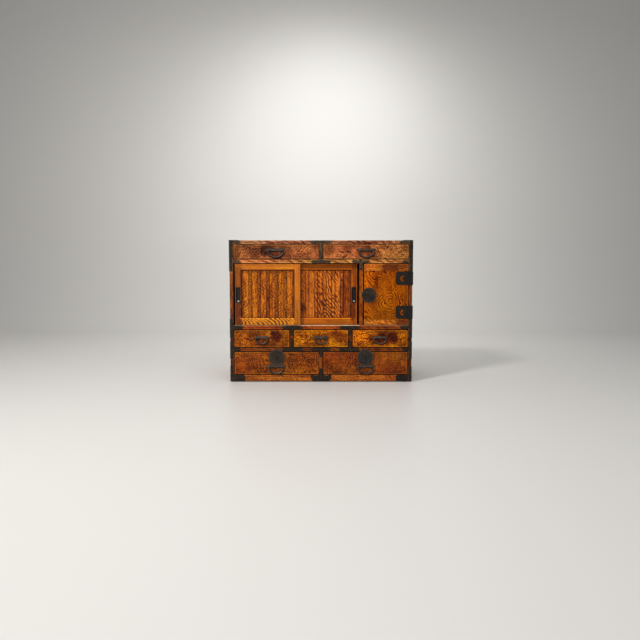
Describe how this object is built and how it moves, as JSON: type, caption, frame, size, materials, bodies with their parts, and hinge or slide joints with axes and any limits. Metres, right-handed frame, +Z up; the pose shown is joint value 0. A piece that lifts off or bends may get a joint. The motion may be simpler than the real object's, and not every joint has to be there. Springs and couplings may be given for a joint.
{
  "type": "clothing chest",
  "caption": "Low wooden clothing chest with drawers, sliding doors and a hinged door, held and trimmed with black iron straps, bail handles and round locks.",
  "frame": {"origin": "centre of the case's footprint, on the floor, under the bottom board", "axes": "+Z up, +X to the right of someone facing the drawers, the front faces -Y"},
  "size_m": [0.9155, 0.4378, 0.7095],
  "materials": {
    "case_wood": "worn lacquer over open grain",
    "front_wood": "lacquered burl figure",
    "door_wood": "lacquered straight grain",
    "inner_wood": "bare planed softwood",
    "black_iron": "forged, oil-blackened"
  },
  "bodies": {
    "case": {"left_side_board": "case_wood", "right_side_board": "case_wood", "top_board": "case_wood", "bottom_board": "inner_wood", "back_boards": "inner_wood", "base_rail": "case_wood", "lower_rail": "case_wood", "middle_rail": "case_wood", "upper_rail": "case_wood", "shelf_boards": "inner_wood", "drawer_dividers": "case_wood", "cupboard_partition": "case_wood", "drawer_runners": "inner_wood", "corner_irons": "black_iron", "rail_irons": "black_iron", "iron_nails": "black_iron", "hinge_case_leaves": "black_iron"},
    "top_left_drawer": {"top_left_drawer_front": "front_wood", "top_left_drawer_box": "inner_wood", "top_left_handle_mount": "black_iron"},
    "top_left_bail": {"top_left_handle_bail": "black_iron"},
    "top_right_drawer": {"top_right_drawer_front": "front_wood", "top_right_drawer_box": "inner_wood", "top_right_handle_mount": "black_iron"},
    "top_right_bail": {"top_right_handle_bail": "black_iron"},
    "middle_left_drawer": {"middle_left_drawer_front": "front_wood", "middle_left_drawer_box": "inner_wood", "middle_left_handle_mount": "black_iron"},
    "middle_left_bail": {"middle_left_handle_bail": "black_iron"},
    "middle_centre_drawer": {"middle_centre_drawer_front": "front_wood", "middle_centre_drawer_box": "inner_wood", "middle_centre_handle_mount": "black_iron"},
    "middle_centre_bail": {"middle_centre_handle_bail": "black_iron"},
    "middle_right_drawer": {"middle_right_drawer_front": "front_wood", "middle_right_drawer_box": "inner_wood", "middle_right_handle_mount": "black_iron"},
    "middle_right_bail": {"middle_right_handle_bail": "black_iron"},
    "bottom_left_drawer": {"bottom_left_drawer_front": "front_wood", "bottom_left_drawer_box": "inner_wood", "bottom_left_handle_mount": "black_iron", "bottom_left_lock": "black_iron"},
    "bottom_left_bail": {"bottom_left_handle_bail": "black_iron"},
    "bottom_right_drawer": {"bottom_right_drawer_front": "front_wood", "bottom_right_drawer_box": "inner_wood", "bottom_right_handle_mount": "black_iron", "bottom_right_lock": "black_iron"},
    "bottom_right_bail": {"bottom_right_handle_bail": "black_iron"},
    "bottom_left_bolt": {"bottom_left_lock_bolt": "black_iron"},
    "bottom_right_bolt": {"bottom_right_lock_bolt": "black_iron"},
    "left_sliding_door": {"left_sliding_door_frame": "door_wood", "left_sliding_door_panel": "door_wood", "left_sliding_door_pull": "black_iron"},
    "right_sliding_door": {"right_sliding_door_frame": "door_wood", "right_sliding_door_panel": "door_wood", "right_sliding_door_pull": "black_iron"},
    "hinged_door": {"hinged_door_panel": "front_wood", "hinged_door_clamps": "door_wood", "hinged_door_lock": "black_iron", "hinge_door_leaves": "black_iron"},
    "hinged_door_bolt": {"hinged_door_lock_bolt": "black_iron"}
  },
  "joints": [
    {"name": "top_left_drawer_slide", "type": "slide", "parent": "case", "child": "top_left_drawer", "axis": [0, -1, 0], "range_m": [0, 0.33]},
    {"name": "top_left_bail_swing", "type": "hinge", "parent": "top_left_drawer", "child": "top_left_bail", "pos_m": [-0.224, -0.2214, 0.66], "axis": [-1, 0, 0], "range_deg": [0, 95]},
    {"name": "top_right_drawer_slide", "type": "slide", "parent": "case", "child": "top_right_drawer", "axis": [0, -1, 0], "range_m": [0, 0.33]},
    {"name": "top_right_bail_swing", "type": "hinge", "parent": "top_right_drawer", "child": "top_right_bail", "pos_m": [0.224, -0.2214, 0.66], "axis": [-1, 0, 0], "range_deg": [0, 95]},
    {"name": "middle_left_drawer_slide", "type": "slide", "parent": "case", "child": "middle_left_drawer", "axis": [0, -1, 0], "range_m": [0, 0.33]},
    {"name": "middle_left_bail_swing", "type": "hinge", "parent": "middle_left_drawer", "child": "middle_left_bail", "pos_m": [-0.295, -0.2214, 0.225], "axis": [-1, 0, 0], "range_deg": [0, 95]},
    {"name": "middle_centre_drawer_slide", "type": "slide", "parent": "case", "child": "middle_centre_drawer", "axis": [0, -1, 0], "range_m": [0, 0.33]},
    {"name": "middle_centre_bail_swing", "type": "hinge", "parent": "middle_centre_drawer", "child": "middle_centre_bail", "pos_m": [0, -0.2214, 0.225], "axis": [-1, 0, 0], "range_deg": [0, 95]},
    {"name": "middle_right_drawer_slide", "type": "slide", "parent": "case", "child": "middle_right_drawer", "axis": [0, -1, 0], "range_m": [0, 0.33]},
    {"name": "middle_right_bail_swing", "type": "hinge", "parent": "middle_right_drawer", "child": "middle_right_bail", "pos_m": [0.295, -0.2214, 0.225], "axis": [-1, 0, 0], "range_deg": [0, 95]},
    {"name": "bottom_left_drawer_slide", "type": "slide", "parent": "case", "child": "bottom_left_drawer", "axis": [0, -1, 0], "range_m": [0, 0.33]},
    {"name": "bottom_left_bail_swing", "type": "hinge", "parent": "bottom_left_drawer", "child": "bottom_left_bail", "pos_m": [-0.224, -0.2214, 0.079], "axis": [-1, 0, 0], "range_deg": [0, 95]},
    {"name": "bottom_right_drawer_slide", "type": "slide", "parent": "case", "child": "bottom_right_drawer", "axis": [0, -1, 0], "range_m": [0, 0.33]},
    {"name": "bottom_right_bail_swing", "type": "hinge", "parent": "bottom_right_drawer", "child": "bottom_right_bail", "pos_m": [0.224, -0.2214, 0.079], "axis": [-1, 0, 0], "range_deg": [0, 95]},
    {"name": "bottom_left_bolt_slide", "type": "slide", "parent": "bottom_left_drawer", "child": "bottom_left_bolt", "axis": [0, 0, 1], "range_m": [0, 0.007]},
    {"name": "bottom_right_bolt_slide", "type": "slide", "parent": "bottom_right_drawer", "child": "bottom_right_bolt", "axis": [0, 0, 1], "range_m": [0, 0.007]},
    {"name": "left_sliding_door_slide", "type": "slide", "parent": "case", "child": "left_sliding_door", "axis": [1, 0, 0], "range_m": [-0.006, 0.292]},
    {"name": "right_sliding_door_slide", "type": "slide", "parent": "case", "child": "right_sliding_door", "axis": [1, 0, 0], "range_m": [-0.29, 0.0085]},
    {"name": "hinged_door_swing", "type": "hinge", "parent": "case", "child": "hinged_door", "pos_m": [0.43575, -0.2159, 0.435], "axis": [0, 0, 1], "range_deg": [0, 172]},
    {"name": "hinged_door_bolt_slide", "type": "slide", "parent": "hinged_door", "child": "hinged_door_bolt", "axis": [-1, 0, 0], "range_m": [0, 0.01]}
  ]
}
